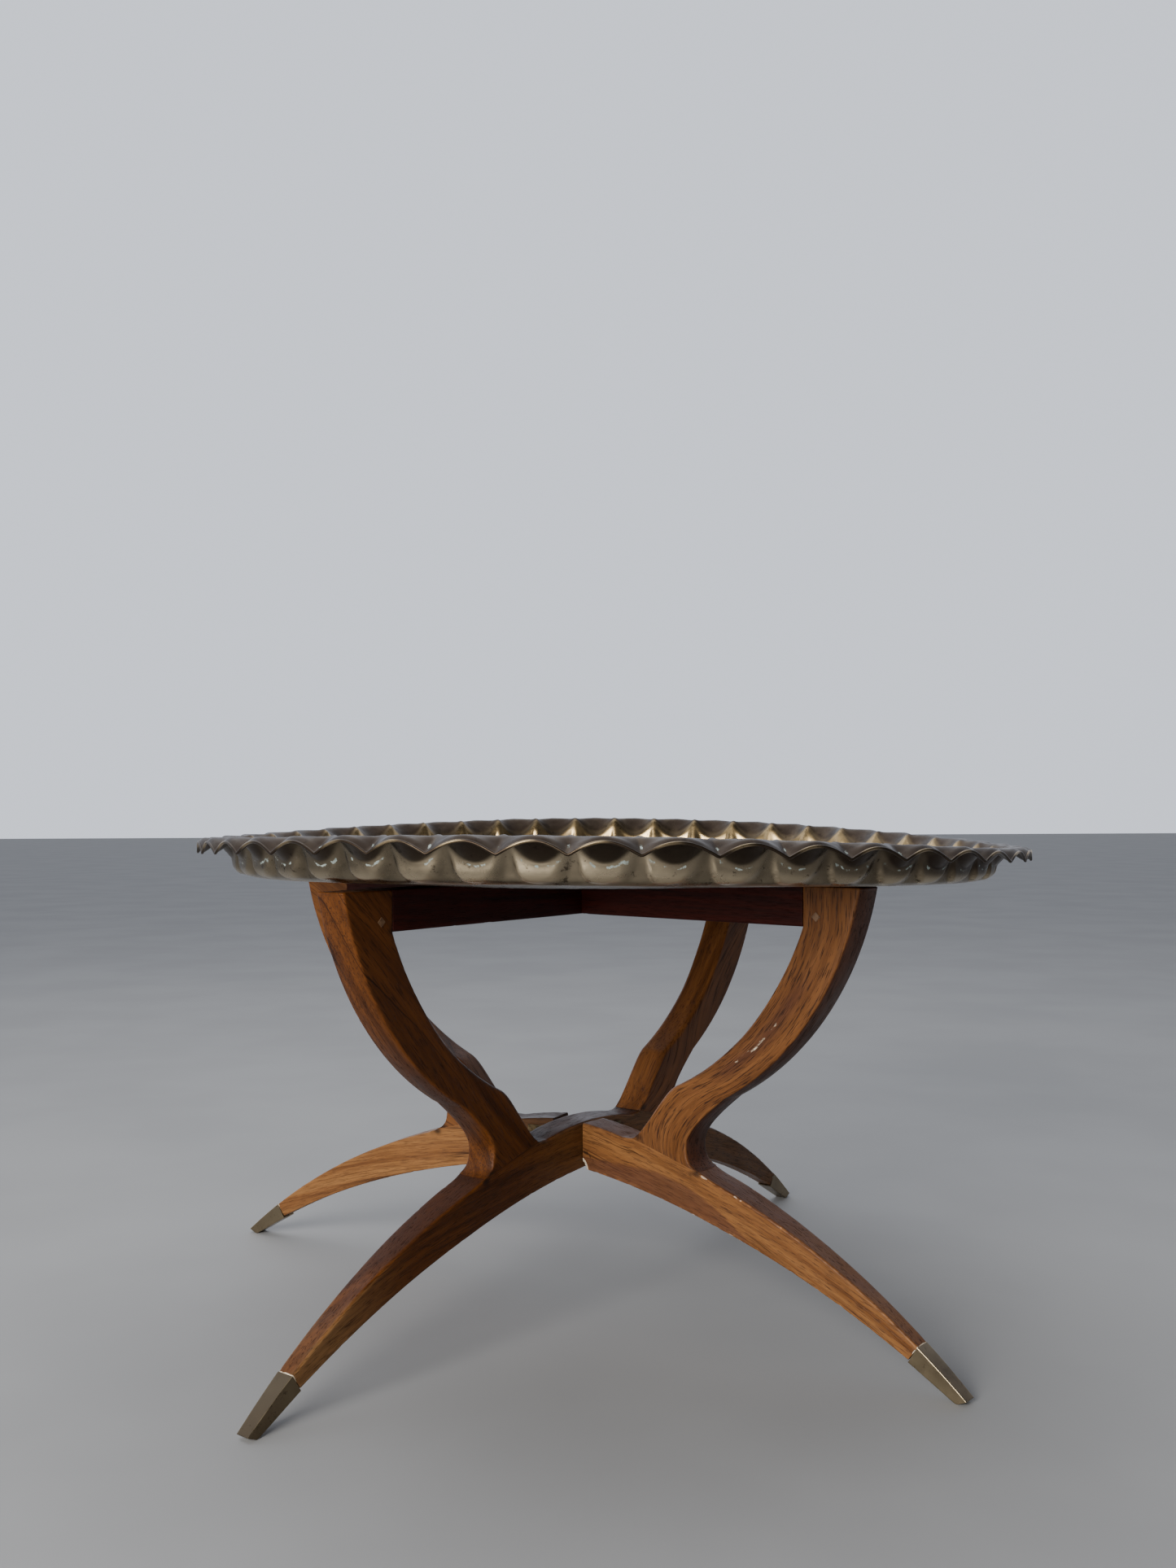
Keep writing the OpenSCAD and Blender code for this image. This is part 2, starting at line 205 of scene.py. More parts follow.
def sheet_directions():
    """The directions of the sheet's points, the same number across every flute."""
    count = FLUTES * FLUTE_SAMPLES
    return np.arange(count) * 2 * math.pi / count + FLUTE_FROM


def flute_turn(a):
    """Place across a flute, from 0 at one crease to 1 at the next."""
    return (a - FLUTE_FROM) / (2 * math.pi) * FLUTES % 1


def turned_left(turn):
    """1 on the flank of a scoop that looks to the left, -1 on the other flank."""
    return np.cos((turn - 0.30) * 2 * math.pi)


def wall_bowl(a, station):
    """1 in the rounded bowl under each scoop, 0 around it, with a crisper rim on its left."""
    turn = flute_turn(a)
    middle, half_across, half_up = 4.4, 0.47, 2.9
    reach = np.hypot((turn - 0.5) / half_across, (middle - station) / half_up)
    soft = 0.26 + 0.16 * np.cos((turn - 0.75) * 2 * math.pi)
    return 1 - ease(reach, 1 - soft, 1.02)


def tray_sheet():
    """Grid of the sheet's lower face [ring, direction, xyz], with each direction's scoop factor and each
    ring's place among the stations."""
    mean_r = TRAY_EDGE - (STATIONS[:, 0] + STATIONS[:, 2]) / 2
    mean_h = (STATIONS[:, 1] + STATIONS[:, 3]) / 2 * RIM_H
    knots = np.concatenate([[0], np.cumsum(np.hypot(np.diff(mean_r), np.diff(mean_h)))])
    floor_rings = np.arange(0, knots[1] - 1, FLOOR_STEP)
    wall_rings = np.arange(knots[1], knots[-1], WALL_STEP)
    along = np.concatenate([floor_rings, wall_rings, knots[-1:]])
    rows = monotone(along, knots, STATIONS)
    a = sheet_directions()
    circle = np.stack([np.cos(a), np.sin(a), 0 * a], axis=1)
    # no two scoops are quite alike: their creases wander and their depth varies
    wander = 0.14 * soft_noise(circle, 0.11, 3)
    depth = 1 - 0.10 * (1 + soft_noise(circle, 0.15, 9))
    soft = 0.07
    wave = np.sin((a - FLUTE_FROM) * FLUTES / 2 + wander)
    k = (np.sqrt(wave ** 2 + soft ** 2) - soft) / (math.sqrt(1 + soft ** 2) - soft)
    station = np.interp(along, knots, np.arange(len(knots)))[:, None]
    bowl, on_wall = wall_bowl(a, station), ease(station, 1.0, 1.6) * (1 - ease(station, 4.0, 4.8))
    bowl_depth = 1.6
    bulge = k * depth * (1 - on_wall) + bowl * on_wall
    inset = rows[:, 0:1] + bulge * (rows[:, 2:3] - rows[:, 0:1]) - bowl_depth * bowl * on_wall
    share = rows[:, 1:2] + k * (rows[:, 3:4] - rows[:, 1:2])
    r = TRAY_EDGE - inset
    rise = rim_rise(a)
    z = TRAY_Z + rows[:, 4:5] * FLOOR_SHARE * rise + share * (RIM_H + (1 - FLOOR_SHARE) * rise)
    grid = np.stack([r * np.cos(a), r * np.sin(a), z], axis=2)
    return grid, k, station[:, 0]


def grid_normals(grid):
    """Upward unit normals of a closed fan of directions."""
    around = np.roll(grid, -1, axis=1) - np.roll(grid, 1, axis=1)
    outward = np.gradient(grid, axis=0)
    normal = np.cross(outward, around)
    return normal / np.linalg.norm(normal, axis=2, keepdims=True), outward


def disc_inside(points, ring, radius, step, height):
    """Fills a circle of points with rings inwards, halving their number where they crowd."""
    faces = []
    base = len(points)
    made = []
    count = len(ring)
    start = math.atan2(points[ring[0]][1], points[ring[0]][0])
    while radius > 3 * step:
        radius -= step
        halve = count % 2 == 0 and 2 * math.pi * radius / count < 0.62 * step
        inner = count // 2 if halve else count
        a = start + np.arange(inner) * 2 * math.pi / inner
        new = list(range(base + len(made), base + len(made) + inner))
        made.extend(np.stack([radius * np.cos(a), radius * np.sin(a), 0 * a + height], axis=1))
        for i in range(inner):
            n = (i + 1) % inner
            if halve:
                faces.append((ring[2 * i], ring[2 * i + 1], ring[(2 * i + 2) % count], new[n], new[i]))
            else:
                faces.append((ring[i], ring[n], new[n], new[i]))
        ring, count = new, inner
    faces.append(tuple(ring))
    return np.array(made), faces


def sheet_finish(station, k, marks, is_upper):
    """Painted values of the sheet's upper face (is_upper 1) or lower face (0), for each ring and
    direction: red = rubbed bright and painted highlights, green = dark patina and painted shade, blue =
    verdigris, alpha = is_upper."""
    at = station[:, None]
    angle = sheet_directions()
    turn = flute_turn(angle)
    crease, scoop = peak(k, 0, 0.16), ease(k, 0.25, 0.8)
    is_lower = 1 - is_upper
    # round the tray: painted rim shadow on the side away from the window, painted highlight on the front
    way = np.mod(angle, 2 * math.pi)
    rim_shadow_side = peak(way, 1.79 * math.pi, 0.42)
    front_highlight = 0.50 + peak(way, 1.46 * math.pi, 0.45)

    bowl = wall_bowl(angle, at)
    # painted highlights: glows in the wall's bowls, and crescents on their left rims on the outside, over
    # an even rub
    bowl_rim_highlight = peak(bowl, 0.45, 0.3) * ease(turned_left(turn), 0.1, 0.9) * (at < 3.9)
    bowl_highlights = 0.20 + bowl * (0.15 + 0.60 * peak(at, 2.3, 0.6)) + 1.1 * bowl_rim_highlight * is_lower
    on_wall = ease(at, 1.2, 1.8) * (1 - ease(at, 4.2, 5.0))
    on_floor = is_upper * (1 - ease(at, 0.9, 1.5))
    # brightened: rubbed wear on the floor and inside, and painted bowl highlights on the wall, strongest on
    # the front
    brightened = on_wall * (0.55 * is_upper + front_highlight * bowl_highlights) + 0.4 * peak(at, 1.3, 0.3)
    brightened += on_floor * (FLOOR_RUBBED + RIDGE_RUBBED * marks)
    brightened += is_upper * (0.2 * peak(at, 5.4, 0.4) + 0.15 * crease * ease(at, 4, 5))

    rim = ease(at, 5.0, 6.2)
    dark_above = np.maximum(ease(at, 4.5, 5.6), 0.7 * scoop * ease(at, 3.9, 4.8))
    # under the rim and the scoops' undersides: dark patina with painted shade, and painted rim shadow down
    # the wall away from the window
    shade_and_patina_below = np.maximum(rim, scoop * ease(at, 3.6, 5.6)) + ease(at, 2.5, 3.8) * rim_shadow_side * (1 - rim)
    dark = is_upper * dark_above + 0.90 * is_lower * shade_and_patina_below + FLOOR_DARK * on_floor

    patches = soft_noise(np.stack([turn * 3, turn * 0, angle * 40], axis=1), 0.5, 17)
    in_crease = peak(at, 8.0, 0.6) * crease ** 2
    valley = peak(at, 4.0 + 0.5 * crease - 0.3 * patches, 0.34) * ease(k, 0.1, 0.5)
    green = 1.15 * (is_upper * in_crease + is_lower * valley * ease(patches, -0.7, 0.2))
    return np.stack([brightened, dark, green, np.full_like(green, is_upper)], axis=2)


def bead_finish(k):
    """Painted values of a ring of the edge bead: dark, with a painted highlight on the left flank of each
    scoop.
    """
    left_flank = ease(turned_left(flute_turn(sheet_directions())), -0.4, 0.9)
    lit = 0.55 * ease(k, 0.25, 0.8) * left_flank
    return np.stack([0.1 + lit, 0.95 - 0.8 * lit, 0 * k, 0.5 + 0 * k], axis=1)


def build_tray():
    """One closed sheet: rings of its upper face, edge bead and lower face, and two middle discs."""
    grid, k, station = tray_sheet()
    normal, _ = grid_normals(grid)
    spots = grid.reshape(-1, 3)
    marks = hammer_marks(spots, MARK_SPACING, MARK_SEED).reshape(grid.shape[:2])
    dents = soft_noise(spots, 34, 8).reshape(grid.shape[:2])
    on_rim = ease(station, 0.1, 1.5)[:, None]
    mark_depth = MARK_DEPTH - (MARK_DEPTH - RIM_MARK_DEPTH) * on_rim
    lower = grid + normal * (mark_depth * marks + DENT_DEPTH * dents * on_rim)[..., None]
    normal, outward = grid_normals(lower)
    upper = lower + normal * SHEET
    d = outward[-1] / np.linalg.norm(outward[-1], axis=1, keepdims=True)
    centre = (lower[-1] + upper[-1]) / 2 - d * BEAD
    lower, upper = lower[:-1], upper[:-1]
    bead = [
        centre + BEAD * (math.cos(t) * d + math.sin(t) * normal[-1])
        for t in np.radians(np.linspace(125, -125, 13))
    ]
    rings = list(upper) + bead + list(lower[::-1])
    around = grid.shape[1]
    points = np.concatenate(rings)
    faces = rings_to_faces(len(rings), around)
    top_ring = list(range(around))
    low_ring = list(range((len(rings) - 1) * around, len(rings) * around))
    top, top_faces = disc_inside(points, top_ring, TRAY_FLAT, FLOOR_STEP, TRAY_Z + SHEET)
    top_marks = hammer_marks(top, MARK_SPACING, MARK_SEED)
    top[:, 2] += MARK_DEPTH * top_marks
    points = np.concatenate([points, top])
    low, low_faces = disc_inside(points, low_ring, TRAY_FLAT, UNDER_STEP, TRAY_Z)
    points = np.concatenate([points, low])
    piece = new_mesh("brass_tray", points, faces + top_faces + low_faces, 60)

    top_finish = np.tile((FLOOR_RUBBED, FLOOR_DARK, 0.0, 1.0), (len(top), 1))
    top_finish[:, 0] += RIDGE_RUBBED * top_marks
    finish = [
        sheet_finish(station[:-1], k, marks[:-1], 1.0).reshape(-1, 4),
        np.tile(bead_finish(k), (len(bead), 1)),
        sheet_finish(station[:-1], k, marks[:-1], 0.0)[::-1].reshape(-1, 4),
        top_finish,
        np.zeros((len(low), 4)),
    ]
    store(piece, "finish", np.concatenate(finish))
    return piece


# ---------------- the boards' shapes

HALF = 16
PIN = 19
STAND_H = 407
CUFF_TOP, CUFF_LOW = np.array([373.5, 36.8]), np.array([364.6, 23])
SEAM_IN, SEAM_OUT = np.array([83, 163]), np.array([157, 143.6])
RAIL_R, RAIL_Z = 272.5, 372
ARM_TOP_R = 328
FOOT_REACH = 417
# A leg's upper edge: the crown at the hub, the points from there to past the seam, then an arc.
# Its under edge is one arc. An arc is a radius and its centre's x and z.
CROWN_REACH, CROWN_Z, CROWN_DROP = 68, 168.5, 6.7
SEAM_EDGE = np.array([(68, 161.8), (76, 161.9), (83, 163), (157, 143.6), (169, 138.7)])
TOP_ARC, UNDER_ARC = (662, -19, -496), (856, -39, -730)


def arc_height(x, radius, centre_x, centre_z):
    """Height at x of the upper half of a circle."""
    return np.sqrt(radius ** 2 - (x - centre_x) ** 2) + centre_z


def leg_top(x):
    """Height of a leg's upper edge at a distance from the hub: crown, saddle, seam, then a long arc."""
    x = np.abs(x)
    crown = CROWN_Z - CROWN_DROP * (x / CROWN_REACH) ** 2
    middle = np.interp(x, SEAM_EDGE[:, 0], SEAM_EDGE[:, 1])
    outer = arc_height(x, *TOP_ARC)
    return np.where(x < CROWN_REACH, crown, np.where(x < SEAM_EDGE[-1, 0], middle, outer))


def leg_under(x):
    """Height of a leg's under edge at a distance from the hub."""
    return arc_height(np.abs(x), *UNDER_ARC)


def half_width(x):
    """Half the thickness of a leg, which narrows towards the foot."""
    return np.interp(np.abs(x), [185, CUFF_TOP[0], FOOT_REACH], [HALF, 8.5, 6.5])


def arc(p, q, r, n):
    """Points of a short arc of radius r from p to q, its centre on the left of the way, or on the
    right if r is negative."""
    p, q = np.array(p, float), np.array(q, float)
    d = q - p
    aside = np.array([-d[1], d[0]]) / np.hypot(*d) * math.copysign(math.sqrt(r * r - d @ d / 4), r)
    c = (p + q) / 2 + aside
    a, b = np.arctan2(*(p - c)[::-1]), np.arctan2(*(q - c)[::-1])
    t = np.linspace(a, b, n)
    return c + abs(r) * np.stack([np.cos(t), np.sin(t)], axis=1)


def curve(p, q, r, s, n):
    """Points of a cubic curve from p to s, which sets out towards q and arrives from r."""
    t = np.linspace(0, 1, n)[:, None]
    u = 1 - t
    p, q, r, s = (np.array(v, float) for v in (p, q, r, s))
    return u ** 3 * p + 3 * u * u * t * q + 3 * u * t * t * r + t ** 3 * s


def along_path(path, count):
    """The path's points taken again at even distances."""
    keep = np.concatenate([[True], np.hypot(*np.diff(path, axis=0).T) > 1e-6])
    path = path[keep]
    length = np.concatenate([[0], np.cumsum(np.hypot(*np.diff(path, axis=0).T))])
    t = np.linspace(0, length[-1], count)
    return np.stack([np.interp(t, length, path[:, i]) for i in (0, 1)], axis=1)


def arm_edges(count):
    """An arm's outer and inner curve, from the stand's top down to the seam."""
    outer = np.vstack([
        arc((ARM_TOP_R, STAND_H), (187, 213), -285, 60),
        curve((187, 213), (168, 197), (146, 180), (145, 165), 30),
        curve((145, 165), (145, 152), (148, 147.5), SEAM_OUT, 24),
    ])
    inner = np.vstack([
        [(RAIL_R, STAND_H)],
        arc((RAIL_R, RAIL_Z), (134, 219), -279, 60),
        curve((134, 219), (116, 211), (99, 172), SEAM_IN, 30),
    ])
    return along_path(outer, count), along_path(inner, count)


def section_template(n_side, n_face, n_corner):
    """Points round a rounded rectangle, each as its width and height in terms of (w, ra, rb, h):
    w half the width, h the height, ra and rb the corner radii at edge a and edge b."""
    def corner(sign, upper, angles):
        rows = []
        for t in np.radians(angles):
            side = math.cos(t) - sign
            if upper:
                rows.append([(sign, side, 0, 0), (0, math.sin(t) - 1, 0, 1)])
            else:
                rows.append([(sign, 0, side, 0), (0, 0, math.sin(t) + 1, 0)])
        return rows
    quarter = np.linspace(0, 90, n_corner + 1)
    corners = [
        corner(1, True, quarter), corner(-1, True, quarter + 90),
        corner(-1, False, quarter + 180), corner(1, False, quarter + 270),
    ]
    rows = []
    for i, points in enumerate(corners):
        rows.extend(points)
        last, following = np.array(points[-1]), np.array(corners[(i + 1) % 4][0])
        count = n_face if i % 2 == 0 else n_side
        rows.extend((last + (following - last) * j / count).tolist() for j in range(1, count))
    return np.array(rows, float)


def board_mesh(name, edge_a, edge_b, widths, arris_a, arris_b, ends, seed, crown=0.0):
    """A board between edge curve a, upper or outer, and edge curve b, both [x, z] in a leg's plane.
    Returns its points and faces, with what the finish needs to know of each point."""
    n_side, n_face, n_corner = 16, 12, 4
    template = section_template(n_side, n_face, n_corner)
    a, b = edge_a.copy(), edge_b.copy()
    w, ra, rb = (np.broadcast_to(v, len(a)).astype(float).copy() for v in (widths, arris_a, arris_b))
    inset = np.zeros(len(a))
    for at_end, radius in ((False, ends[0]), (True, ends[1])):
        i, j = (-1, -2) if at_end else (0, 1)
        up = (a[i] - b[i]) / np.hypot(*(a[i] - b[i]))
        inward = np.array([up[1], -up[0]])
        if inward @ ((a[j] + b[j]) - (a[i] + b[i])) < 0:
            inward = -inward
        turns = np.radians([0, 22, 45, 67, 90])
        offsets, insets = radius * (1 - np.cos(turns)), radius * (1 - np.sin(turns))
        new_a = a[i] + offsets[:, None] * inward
        new_b = b[i] + offsets[:, None] * inward
        held = [(values, np.full(len(turns), values[i])) for values in (w, ra, rb)]
        parts = [(a, new_a), (b, new_b), *held, (inset, insets)]
        joined = [
            np.concatenate([old[:-1], new[::-1]]) if at_end else np.concatenate([new, old[1:]])
            for old, new in parts
        ]
        a, b, w, ra, rb, inset = joined
    up = a - b
    h = np.hypot(*up.T)
    up = up / h[:, None]
    b = b + up * inset[:, None]
    h = h - 2 * inset
    w = w - inset
    mid = (a + b) / 2
    along = np.concatenate([[0], np.cumsum(np.hypot(*np.diff(mid, axis=0).T))])
    spots = np.stack([along, 0 * along, 0 * along], axis=1)
    limit = np.minimum(w, h / 2) * 0.95
    ra = np.clip(ra * (1 + 0.14 * soft_noise(spots, 45, seed)), 0.1, limit)
    rb = np.clip(rb * (1 + 0.14 * soft_noise(spots, 45, seed + 1)), 0.1, limit)
    sizes = np.stack([w, ra, rb, h], axis=1)
    q = sizes @ template[:, 0].T
    p = sizes @ template[:, 1].T
    p += crown * np.clip(1 - (q / w[:, None]) ** 2, 0, 1) * np.clip(p / h[:, None], 0, 1) ** 4
    xz = b[:, None] + up[:, None] * p[..., None]
    points = np.stack([xz[..., 0], q, xz[..., 1]], axis=2)
    rows, around = q.shape
    faces = rings_to_faces(rows, around)
    faces += [tuple(range(around)), tuple(range((rows - 1) * around, rows * around))]
    to_arris = np.hypot(w[:, None] - np.abs(q), np.minimum(p, h[:, None] - p))
    return {
        "name": name, "points": points.reshape(-1, 3), "faces": faces, "p": p.ravel(), "q": q.ravel(),
        "h": np.repeat(h, around), "along": np.repeat(along, around), "arris": to_arris.ravel(),
        "ribbon": np.repeat(np.linspace(0, 1, rows), around),
    }


def finish_board(data, place, grain_angle, follow, seed, paint, chips):
    """Makes the board's object, with hand-worked unevenness, small dents along its arrises and the
    values that its material reads. The grain follows the board's bend by the share follow."""
    points, q = data["points"], data["q"]
    rng = np.random.default_rng(seed)
    centre = points - np.stack([0 * q, q, 0 * q], axis=1)
    inward = np.stack([0 * q, -np.sign(q), 0 * q], axis=1)
    along_arris = np.flatnonzero(data["arris"] < 1.5)
    dent = np.zeros(len(points))
    for spot in points[rng.choice(along_arris, chips)]:
        size = rng.uniform(1.5, 4.0)
        reach = np.linalg.norm(points - spot, axis=1)
        dent = np.maximum(dent, rng.uniform(0.15, 0.45) * np.clip(1 - (reach / size) ** 2, 0, 1))
    uneven = 0.12 * soft_noise(points, 45, seed + 5) + 0.02 * soft_noise(points, 9, seed + 6)
    moved = points + inward * (dent - uneven)[:, None]
    side = np.where(data["p"] > data["h"] / 2, -1.0, 1.0)
    moved[:, 2] += side * dent * 0.7
    piece = new_mesh(data["name"], moved, data["faces"], 50)
    put_in_place(piece, place)

    a = math.radians(grain_angle)
    x, z = centre[:, 0], centre[:, 2]
    plank = np.stack([x * math.cos(a) + z * math.sin(a), z * math.cos(a) - x * math.sin(a)], axis=1)
    ribbon = np.stack([data["along"], data["p"] - data["h"] / 2], axis=1)
    mixed = plank + follow * (ribbon - plank)
    grain = np.stack([mixed[:, 0], mixed[:, 1], points[:, 1]], axis=1) * MM
    grain += rng.uniform(-0.5, 0.5, 3) * (1.0, 0.3, 0.0)
    store(piece, "grain", grain)

    # finish: red = worn arris, green = dark dirt and painted shade, blue = purple heartwood and painted
    # purple-grey sheen (bleached if negative), alpha = pale filler
    finish = np.zeros((len(points), 4))
    finish[:, 0] = peak(data["arris"], 0, 1.5) + 0.8 * ease(dent, 0.2, 0.5)
    if paint:
        paint(data, points, finish)
    store(piece, "finish", finish)
    return piece


# ---------------- places in the stand

def turned(degrees):
    """A turn about the upright axis."""
    return Matrix.Rotation(math.radians(degrees), 4, "Z")


STAND = Matrix.Translation((-35, -5, 0)) @ turned(49.7)
TO_PIN, FROM_PIN = Matrix.Translation((PIN, -PIN, 0)), Matrix.Translation((-PIN, PIN, 0))
PLACES = {
    "back_right": STAND,
    "front_left": STAND @ turned(180),
    "front_right": STAND @ TO_PIN @ turned(-4.1) @ FROM_PIN @ turned(-90),
    "back_left": STAND @ turned(180) @ TO_PIN @ turned(9.8) @ FROM_PIN @ turned(-90),
}


# ---------------- what is painted on the boards

def paint_leg(data, points, finish):
    """Pale filler on a line across the leg where it meets its ferrule, and no worn arris at the
    glued seam under the arm."""
    across = CUFF_TOP - CUFF_LOW
    normal = np.array([across[1], -across[0]]) / np.hypot(*across)
    x, z = np.abs(points[:, 0]), points[:, 2]
    short = (CUFF_LOW[0] - x) * normal[0] + (CUFF_LOW[1] - z) * normal[1]
    ragged = 0.4 + 0.4 * soft_noise(points, 3, 77)
    finish[:, 3] = 1 - ease(short, ragged, ragged + 0.7)
    under_arm = ease(x, 74, 84) * (1 - ease(x, 152, 160)) * (data["p"] > data["h"] / 2)
    finish[:, 0] *= 1 - under_arm


def dirt_and_shade_near(points, finish, spots):
    """Dark dirt and painted shade on the side faces round (x, z, reach) spots in corners, where cloths
    don't get in and shade falls.
    """
    side = ease(np.abs(points[:, 1]), HALF - 1.2, HALF - 0.3)
    ragged = 1 + 0.5 * soft_noise(points, 5, 40)
    for x, z, reach in spots:
        away = np.hypot(np.abs(points[:, 0]) - x, (points[:, 2] - z) * 1.6) * ragged
        finish[:, 1] = np.maximum(finish[:, 1], 0.85 * (1 - ease(away, reach * 0.1, reach)) * side)


def seam_line(points, finish):
    """The glue line of the seam, which goes on as a dark grain line towards the hub."""
    x, z = np.abs(points[:, 0]), points[:, 2]
    line = SEAM_IN[1] + (x - SEAM_IN[0]) * (SEAM_OUT[1] - SEAM_IN[1]) / (SEAM_OUT[0] - SEAM_IN[0])
    dark = peak(z, line - 1.0, 0.8) * ease(x, 25, 60) * (1 - ease(x, 150, 175))
    finish[:, 1] = np.maximum(finish[:, 1], 0.8 * dark)


def between_arrises(data):
    """1 in the middle of a board's thickness, 0 near its side faces."""
    return 1 - ease(np.abs(data["q"]), HALF - 2.2, HALF - 0.6)


def on_outer_face(data):
    """1 on a board's upper or outer face, 0 past its arrises."""
    return ease(data["p"] - data["h"], -1.6, -0.4) * between_arrises(data)


def on_inner_face(data):
    """1 on a board's lower or inner face, 0 past its arrises."""
    return (1 - ease(data["p"], 0.4, 1.8)) * between_arrises(data)


def paint_beam(data, points, finish):
    """Painted purple-grey sheen on top near the hub, and bleached sides, most at the front foot."""
    paint_leg(data, points, finish)
    seam_line(points, finish)
    dirt_and_shade_near(points, finish, [(157, 142, 8), (76, 162, 6)])
    x, outer, is_front = np.abs(points[:, 0]), on_outer_face(data), points[:, 0] < 0
    bleached = np.where(is_front, 0.75 * ease(x, 240, 360) + 0.3 * (1 - ease(x, 30, 130)), 0.40)
    # painted purple-grey sheen on the upper face
    purple = 0.9 * outer * (1 - ease(x, 240, 330))
    pale_arris = peak(data["arris"], 0, 2.4) * ease(x, 260, 330) * is_front
    finish[:, 2] = np.clip(purple - bleached * (1 - 0.85 * outer) - 0.5 * pale_arris, -1, 1)


def paint_front_right_leg(data, points, finish):
    """Heartwood along the under edge, painted purple-grey sheen on the upper face, a curved crack near the
    hub and a pale chip at its corner.
    """
    paint_leg(data, points, finish)
    x, z = points[:, 0], points[:, 2]
    line = 136 - 0.0036 * np.clip(x - 100, 0, None) ** 2 + 1.2 * soft_noise(points, 26, 4)
    lower = 0.95 * (1 - ease(z, line - 1.2, line + 1.2)) * (1 - 0.75 * ease(x, 190, 250))
    # heartwood along the under edge, and painted purple-grey sheen on the upper face
    finish[:, 2] = np.maximum(lower, on_outer_face(data) * (1 - 0.65 * ease(x, 220, 330)))
    crack = np.abs(np.hypot(x - 22, z - 129) - 11 - soft_noise(points, 5, 12))
    curved = peak(crack, 0, 0.55) * ease(z, 131, 134) * (1 - ease(x, 33, 38))
    finish[:, 1] = np.maximum(finish[:, 1], curved)
    dirt_and_shade_near(points, finish, [(157, 142, 9)])
    worn = ease(soft_noise(points, 5, 31), 0.25, 0.6) * peak(data["arris"], 0, 2.2)
    finish[:, 0] += 1.3 * worn * ease(x, 135, 150) * (1 - ease(x, 190, 230))
    corner = np.hypot(x - PIN, (z - leg_under(x)) * 0.8) + 1.5 * soft_noise(points, 3, 14)
    chipped = (1 - ease(corner, 6.5, 9.0)) * (1 - ease(points[:, 1], -11, -6))
    finish[:, 3] = np.maximum(finish[:, 3], 1.6 * chipped)


def paint_back_left_leg(data, points, finish):
    """Dirt and painted shade near the hub, and painted purple-grey sheen on the upper face there."""
    paint_leg(data, points, finish)
    dirt_and_shade_near(points, finish, [(157, 142, 10), (76, 162, 7)])
    near_hub = 1 - ease(points[:, 0], 70, 130)
    # painted shade over the leg near the hub, and painted purple-grey sheen on its upper face
    finish[:, 1] = np.maximum(finish[:, 1], 0.62 * near_hub)
    finish[:, 2] = 0.9 * on_outer_face(data) * near_hub


def paint_front_right_arm(data, points, finish):
    """A purple streak with pale filler along the sides, and painted dark purple-grey sheen and shade on the
    outer face.
    """
    dirt_and_shade_near(points, finish, [(88, 166, 6)])
    middle = (data["p"] / data["h"] - 0.42) + 0.10 * soft_noise(points, 40, 2)
    s = data["ribbon"]
    streak = peak(middle, 0, 0.17) * ease(s, 0.22, 0.34) * (1 - ease(s, 0.58, 0.70))
    # the purple streak, and painted purple-grey sheen and shade on the outer face
    finish[:, 2] = np.maximum(0.9 * streak, on_outer_face(data))
    finish[:, 3] = 0.60 * streak * ease(s, 0.34, 0.42)


def paint_arm(data, points, finish):
    """Dirt and painted shade in an arm's corners at the leg and at the rail."""
    dirt_and_shade_near(points, finish, [(88, 166, 9), (150, 147, 9), (RAIL_R, RAIL_Z, 7)])


def paint_front_left_arm(data, points, finish):
    """Painted purple-grey sheen on the inner face, and on the outer one at its lower bend."""
    paint_arm(data, points, finish)
    s = data["ribbon"]
    # painted purple-grey sheen at the knee and on the inner face
    low_outer = on_outer_face(data) * ease(s, 0.40, 0.60) * (1 - ease(s, 0.72, 0.85))
    finish[:, 2] = np.maximum(0.7 * low_outer, on_inner_face(data))


# ---------------- the boards

def seam_soft(x, radius):
    """Arris radius along a leg's upper edge: crisp under the arm, eased elsewhere."""
    under_arm = ease(np.abs(x), 78, 86) * (1 - ease(np.abs(x), 153, 164))
    return radius * (1 - under_arm) + 0.25 * under_arm


def chip_corner(data, seed):
    """Breaks the lower corner at a leg's hub end, on the side towards the front."""
    points = data["points"]
    away = np.hypot(points[:, 0] - PIN, (points[:, 2] - leg_under(points[:, 0])) * 0.8)
    bite = (1 - ease(away, 1.5, 6.5)) * (points[:, 1] < -2)
    rough = 1 + 0.6 * soft_noise(points, 3, seed)
    points[:, 0] += 2.6 * bite * rough
    points[:, 2] += 2.4 * bite * rough
    points[:, 1] += 1.6 * bite * rough


def leg_board(name, x_top, x_low, radius, radius_below, hub_end, seed):
    """The board of a leg, its upper and lower edge given at these distances from the hub."""
    top, low = np.stack([x_top, leg_top(x_top)], 1), np.stack([x_low, leg_under(x_low)], 1)
    arris = seam_soft(x_top, radius)
    return board_mesh(name, top, low, half_width(x_top), arris, radius_below, (hub_end, 0.3), seed)


def build_beam():
    """The one board that is both the front left and the back right leg."""
    s = np.linspace(-1, 1, 400)
    beam = leg_board("main_beam_wood", s * CUFF_TOP[0], s * CUFF_LOW[0], 2.2, 1.5, 0.3, 11)
    return finish_board(beam, PLACES["back_right"], 0, 0.75, 21, paint_beam, 60)


def build_leg(corner, grain_angle, seed, paint):
    """The leg of a half frame, from the hinge's axis to the ferrule."""
    s = np.linspace(0, 1, 210)
    x_top, x_low = PIN + s * (CUFF_TOP[0] - PIN), PIN + s * (CUFF_LOW[0] - PIN)
    leg = leg_board(corner + "_leg_wood", x_top, x_low, 1.8, 1.3, 0.9, seed)
    if corner == "front_right":
        chip_corner(leg, 6)
    return finish_board(leg, PLACES[corner], grain_angle, 0.7, seed, paint, 34)


